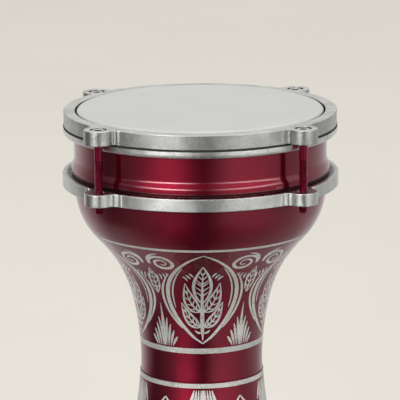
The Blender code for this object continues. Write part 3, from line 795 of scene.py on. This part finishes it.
def motif(turn=0.0, flip=False, low=86.0, high=162.0, wobble=None):
    """One repeat of a plain leaf ornament, the same left and right and laid out by rule: a pointed
    oval round an upright sprig, then a pair of volutes over a small palmette. Yields strokes as
    lists of (angle, drop, width); angles are local to the oval's middle."""
    strokes = []

    def put(points, about=0.0, mirror=True):
        """Points are (x, drop, width), x in millimetres round the shell from the angle about."""
        for side in ((1, -1) if mirror else (1,)):
            strokes.append([(about + side * math.degrees(x / outside(drop)), drop, width)
                            for x, drop, width in points])

    def bow(foot, knee, tip, width, steps=7, thin=0.25):
        """A bent stroke, widest in its middle."""
        points = []
        for i in range(steps + 1):
            t = i / steps
            x, y = (foot[k] * (1 - t) ** 2 + 2 * knee[k] * t * (1 - t) + tip[k] * t * t
                    for k in (0, 1))
            points.append((x, y, width * (thin + (1 - thin) * math.sin(math.pi * t))))
        return points

    def leaf(foot, knee, tip, belly, about=0.0, mirror=True, veins=4, width=1.5):
        """Two edges, a rib and slanting veins about a bent axis."""
        axis = bow(foot, knee, tip, 1.0, 16)
        def beside(i, share):
            here, ahead, behind = axis[i], axis[min(i + 1, 16)], axis[max(i - 1, 0)]
            dx, dy = ahead[0] - behind[0], ahead[1] - behind[1]
            size = math.hypot(dx, dy)
            bulge = belly * share * math.sin(math.pi * (i / 16) ** 0.85)
            return here[0] + bulge * dy / size, here[1] - bulge * dx / size
        for share in (1, -1):
            put([(*beside(i, share), width * (0.3 + 0.7 * math.sin(math.pi * i / 16)))
                 for i in range(0, 17, 2)], about, mirror)
        put([(axis[i][0], axis[i][1], width * (1.0 - 0.75 * i / 13)) for i in range(0, 14)],
            about, mirror)
        for v in range(veins):
            i = 3 + round(v * 9 / max(veins - 1, 1))
            for share in (1, -1):
                end = beside(min(i + 2, 15), 0.80 * share)
                mid = beside(i + 1, 0.42 * share)
                put([(axis[i][0], axis[i][1], 0.9), (*mid, 0.8), (*end, 0.25)], about, mirror)

    def volute(x, drop, radius, turns, start, width, about=0.0, mirror=True):
        """A spiral that winds in from its outer end and thins as it goes."""
        points = []
        steps = round(turns * 14)
        for i in range(steps + 1):
            t = i / steps
            r = radius * (1.0 - 0.86 * t)
            a = start + turns * math.tau * t
            points.append((x + r * math.cos(a), drop + 0.62 * r * math.sin(a),
                           width * (0.35 + 0.65 * math.sin(math.pi * min(1.0, t + 0.22)))))
        put(points, about, mirror)

    # pointed oval, with part of a finer line inside it and outside it
    for reach, start, stop, width in ((27.0, 0.0, 1.0, 2.7), (23.0, 0.16, 0.62, 1.1),
                                      (31.4, 0.24, 0.84, 1.7)):
        line = []
        for i in range(17):
            t = start + (stop - start) * i / 16
            line.append((reach * math.sin(math.pi * t) ** 0.80, 88.5 + 70.5 * t,
                         width * (0.25 + 0.75 * math.sin(math.pi * i / 16) ** 0.5)))
        strokes.append(line)
        strokes.append([(-u, drop, w) for u, drop, w in line])

    # upright sprig: one leaf on a stem, two pairs below it and a tendril at the foot
    leaf((0, 129.0), (0, 113.0), (0, 98.5), 6.2, 0.0, False, 6, 2.0)
    put([(0, 126.0, 1.4), (0, 136.0, 2.5), (0, 147.0, 2.4), (0, 156.5, 0.6)], 0.0, False)
    leaf((0.8, 135.0), (9.8, 131.0), (12.4, 112.5), 3.9, 0.0, True, 4, 1.5)
    leaf((0.8, 146.5), (8.8, 144.5), (14.6, 128.0), 3.0, 0.0, True, 4, 1.4)
    put(bow((0.6, 151.0), (3.2, 151.6), (5.2, 149.0), 1.4), 0.0)
    for k in range(3):
        put(bow((6.6 + 1.9 * k, 107.5 + 1.5 * k), (8.2 + 2.1 * k, 105.0 + 1.2 * k),
                (9.9 + 2.3 * k, 104.2 + 1.5 * k), 1.3), 0.0)

    # between two ovals: paired volutes, a drop leaf, ticks and a palmette
    half = 36.0
    volute(13.0, 96.8, 10.2, 1.9, math.pi * 0.95, 2.4, half)
    put(bow((2.2, 97.5), (1.4, 90.5), (13.5, 88.4), 1.8), half)
    leaf((0, 122.0), (0, 112.0), (0, 101.5), 3.4, half, False, 4, 1.3)
    for k in range(4):
        put(bow((3.4 + 2.7 * k, 106.6 - 0.5 * k), (4.2 + 2.9 * k, 109.2 - 0.7 * k),
                (3.6 + 2.9 * k, 112.6 - 1.9 * k), 1.4), half)
    put([(0, 161.8, 1.0), (0, 151.0, 2.6), (0, 140.0, 1.7), (0, 130.0, 0.3)], half, False)
    for k in range(4):
        put(bow((1.3 + 1.7 * k, 161.8), (1.9 + 2.2 * k, 149.0 + 2.6 * k),
                (3.6 + 2.3 * k, 141.0 + 4.6 * k), 1.7), half)
    out = []
    for line in strokes:
        moved = []
        for angle, drop, width in line:
            if wobble:
                angle += wobble(angle, drop, 0)
                drop += wobble(angle, drop, 1)
            t = (drop - 86.0) / (162.0 - 86.0)
            if flip:
                moved.append((turn - angle, high - (high - low) * t, width))
            else:
                moved.append((turn + angle, low + (high - low) * t, width))
        out.append(moved)
    return out


rng = random.Random(11)


def hand(seed):
    """A slow drift, so that no two repeats are cut quite alike."""
    local = random.Random(seed)
    a = [local.uniform(-1, 1) for _ in range(6)]

    def drift(angle, drop, which):
        x, y = math.radians(angle) * 3.0, drop / 14.0
        if which == 0:
            return 0.5 * (a[0] * math.sin(y + a[1] * 3) + a[2] * math.sin(x + 1.3))
        return 0.35 * (a[3] * math.sin(x * 1.4 + a[4] * 3) + a[5] * math.sin(y * 0.7 + 0.4))
    return drift


upper = Graver()
for number in range(5):
    for line in motif(72.0 * number, wobble=hand(number)):
        upper.stroke(line)
cut_upper = upper.piece("engraving_bowl")
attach(cut_upper, "shell")

lower_band = Graver()
for number in range(5):
    for line in motif(36.0 + 72.0 * number, True, 193.4, 326.0, hand(20 + number)):
        lower_band.stroke([(a, d, w * 1.2) for a, d, w in line], 1.3)
cut_lower = lower_band.piece("engraving_stem")
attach(cut_lower, "shell")

# ------------------------------------------------------------------ stage, light, camera
def stage_plane(name, size, z):
    mesh = bpy.data.meshes.new(name)
    mesh.from_pydata([(-size, -size, z), (size, -size, z), (size, size, z), (-size, size, z)],
                     [], [(0, 1, 2, 3)])
    made = bpy.data.objects.new(name, mesh)
    bpy.context.scene.collection.objects.link(made)
    return made


floor = stage_plane("floor", 12.0, 0.0)
g = Graph("floor_paper")
g.feed(g.mix(g.span(g.noise(3.0, 3.0, 0.5), 0.0, 1.0), (0.735, 0.708, 0.652), (0.755, 0.728, 0.672)),
       "Base Color")
g.set(Roughness=0.9)
floor.data.materials.append(g.mat)
floor.visible_glossy = False

world = bpy.data.worlds.new("studio")
bpy.context.scene.world = world
world.use_nodes = True
tree = world.node_tree
back = tree.nodes["Background"]
coord = tree.nodes.new("ShaderNodeTexCoord")
split = tree.nodes.new("ShaderNodeSeparateXYZ")
tree.links.new(coord.outputs["Generated"], split.inputs["Vector"])


def wmath(op, a, b=None):
    n = tree.nodes.new("ShaderNodeMath")
    n.operation = op
    for i, value in enumerate((a, b)):
        if value is None:
            continue
        if isinstance(value, (int, float)):
            n.inputs[i].default_value = value
        else:
            tree.links.new(value, n.inputs[i])
    return n.outputs[0]


azimuth = wmath("ARCTAN2", split.outputs["X"], wmath("MULTIPLY", split.outputs["Y"], -1.0))
turns = wmath("ADD", wmath("DIVIDE", azimuth, math.tau), 0.5)      # 0.5 is straight to the front
height = split.outputs["Z"]                                         # sine of the elevation
PEAK = 18.0


def panorama(stops):
    """Brightness all the way round, from (degrees from the front, brightness) stops."""
    made = tree.nodes.new("ShaderNodeValToRGB")
    tree.links.new(turns, made.inputs["Fac"])
    elements = made.color_ramp.elements
    made.color_ramp.interpolation = "EASE"
    while len(elements) < len(stops):
        elements.new(0.5)
    for element, (degrees, value) in zip(elements, stops):
        element.position = 0.5 + degrees / 360.0
        element.color = (value / PEAK, value / PEAK, value / PEAK, 1.0)
    return made.outputs["Color"]


def rising(low, high):
    made = tree.nodes.new("ShaderNodeMapRange")
    made.interpolation_type = "SMOOTHSTEP"
    made.inputs["From Min"].default_value = low
    made.inputs["From Max"].default_value = high
    tree.links.new(height, made.inputs["Value"])
    return made.outputs["Result"]


def blend(factor, a, b):
    made = tree.nodes.new("ShaderNodeMix")
    made.data_type = "RGBA"
    tree.links.new(factor, made.inputs["Factor"])
    for value, socket in ((a, made.inputs[6]), (b, made.inputs[7])):
        tree.links.new(value, socket)
    return made.outputs[2]


# a dim room with a pale back wall, one soft box either side of the camera, and a pale ceiling
below = panorama([(-180, 0.45), (-110, 0.42), (-60, 0.14), (-20, 0.03), (10, 0.05), (60, 0.22),
                  (110, 0.36), (180, 0.45)])
around = panorama([(-180, 0.66), (-145, 0.62), (-98, 0.06), (-60, 0.17), (-30, 0.15), (0, 0.04),
                   (28, 0.38), (80, 0.34), (120, 0.44), (180, 0.66)])
boxes = panorama([(-180, 0.60), (-100, 0.22), (-66, 0.6), (-30, 16.0), (2, 0.30), (36, 7.4),
                  (58, 5.6), (86, 0.9), (180, 0.60)])
ceiling = panorama([(-180, 0.88), (180, 0.88)])
sky = blend(rising(-0.72, -0.46), below, around)
sky = blend(rising(0.19, 0.24), sky, boxes)
sky = blend(rising(0.34, 0.40), sky, around)
sky = blend(rising(0.56, 0.68), sky, ceiling)
scaled = tree.nodes.new("ShaderNodeMix")
scaled.data_type = "RGBA"
scaled.blend_type = "MULTIPLY"
scaled.inputs["Factor"].default_value = 1.0
scaled.inputs[7].default_value = (1.0, 0.99, 0.97, 1.0)
tree.links.new(sky, scaled.inputs[6])
tree.links.new(scaled.outputs[2], back.inputs["Color"])
back.inputs["Strength"].default_value = PEAK


def area_light(name, power, size, place, look_at, colour=(1.0, 0.98, 0.95)):
    data = bpy.data.lights.new(name, "AREA")
    data.energy = power
    data.shape = "RECTANGLE"
    data.size, data.size_y = size
    data.color = colour
    lamp = bpy.data.objects.new(name, data)
    lamp.location = place
    lamp.rotation_euler = (Vector(look_at) - Vector(place)).to_track_quat("-Z", "Y").to_euler()
    bpy.context.scene.collection.objects.link(lamp)
    return lamp


area_light("overhead", 9.0, (1.6, 1.2), (0.0, 0.3, 2.0), (0.0, 0.0, 0.3))

target = Vector((-0.0005, 0.0, TOP - 0.0659))
elevation, bearing, distance = math.radians(12.71), math.radians(-1.0), 2.3405
data = bpy.data.cameras.new("camera")
data.sensor_fit = "HORIZONTAL"
data.sensor_width = 36.0
data.lens = 298.1
data.clip_start, data.clip_end = 0.05, 60.0
data.dof.use_dof = False
camera = bpy.data.objects.new("camera", data)
camera.location = target + distance * Vector((
    math.sin(bearing) * math.cos(elevation), -math.cos(bearing) * math.cos(elevation),
    math.sin(elevation)))
look = (target - camera.location).to_track_quat("-Z", "Y").to_matrix().to_4x4()
camera.matrix_world = (Matrix.Translation(camera.location) @ look
                       @ Matrix.Rotation(math.radians(-0.37), 4, "Z"))
bpy.context.scene.collection.objects.link(camera)
bpy.context.scene.camera = camera
scene = bpy.context.scene
scene.view_settings.view_transform = "Standard"
